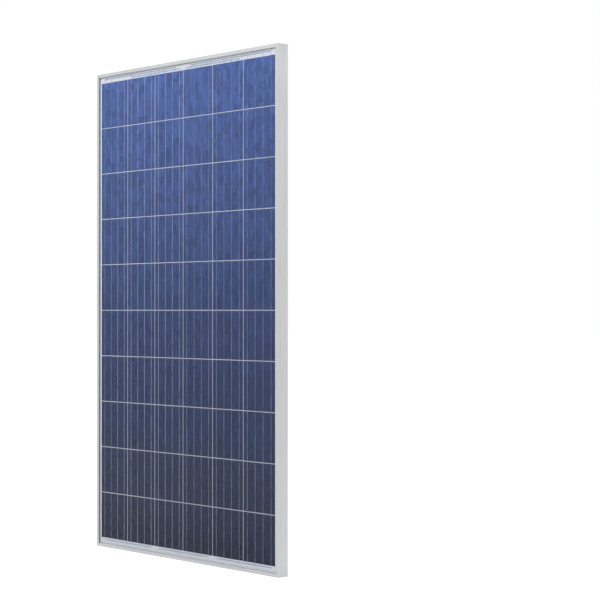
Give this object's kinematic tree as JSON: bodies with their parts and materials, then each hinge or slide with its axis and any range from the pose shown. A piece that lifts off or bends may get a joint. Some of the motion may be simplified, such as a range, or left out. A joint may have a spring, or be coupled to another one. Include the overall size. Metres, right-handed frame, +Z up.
{
  "type": "framed solar panel",
  "caption": "Upright framed photovoltaic panel of square polycrystalline cells, with a rear junction box and two hanging cables that end in connectors.",
  "frame": {"origin": "centre of the four corner holes, on the rear face of the frame's flanges", "axes": "+Z up along the panel's long side, +Y out of the back, the glass faces -Y, +X to the right seen from the front"},
  "size_m": [0.992, 0.04, 1.65],
  "materials": {
    "anodised_frame": "satin anodised",
    "front_glass": "smooth tempered glass",
    "clear_film": "clear film",
    "silicon_cells": "polycrystalline, satin",
    "tinned_ribbon": "tinned copper",
    "backsheet": "white, matte",
    "sealant": "cured silicone",
    "box_plastic": "fine moulded grain",
    "lid_plastic": "fine moulded grain",
    "black_rubber": "matte",
    "cable_jacket": "satin jacket",
    "connector_plastic": "satin moulding",
    "contact_metal": "tinned",
    "copper": "bare strand",
    "key_metal": "as cast"
  },
  "bodies": {
    "panel": {"frame_rail_bottom": "anodised_frame", "frame_rail_top": "anodised_frame", "frame_rail_left": "anodised_frame", "frame_rail_right": "anodised_frame", "corner_keys": "key_metal", "front_glass": "front_glass", "front_encapsulant": "clear_film", "cell_ribbons": "tinned_ribbon", "bus_ribbons": "tinned_ribbon", "solar_cells": "silicon_cells", "rear_encapsulant": "clear_film", "ribbon_leads": "tinned_ribbon", "backsheet": "backsheet", "edge_sealant": "sealant", "box_adhesive_pad": "sealant", "junction_box_base": "box_plastic", "lid_gasket": "black_rubber", "terminal_clips": "contact_metal", "terminal_screws": "contact_metal", "bypass_diodes": "black_rubber", "gland_nuts": "connector_plastic", "gland_seals": "black_rubber", "cable_conductors": "copper", "cable_negative": "cable_jacket", "cable_positive": "cable_jacket", "plug_nut": "connector_plastic", "socket_nut": "connector_plastic", "plug_seal": "black_rubber", "socket_seal": "black_rubber", "plug_housing": "connector_plastic", "socket_housing": "connector_plastic", "contact_socket": "contact_metal", "contact_pin": "contact_metal"},
    "lid": {"junction_box_lid": "lid_plastic"}
  },
  "joints": [
    {"name": "lid_lift_off", "type": "slide", "parent": "panel", "child": "lid", "axis": [0, 1, 0], "range_m": [0, 0.06]}
  ]
}
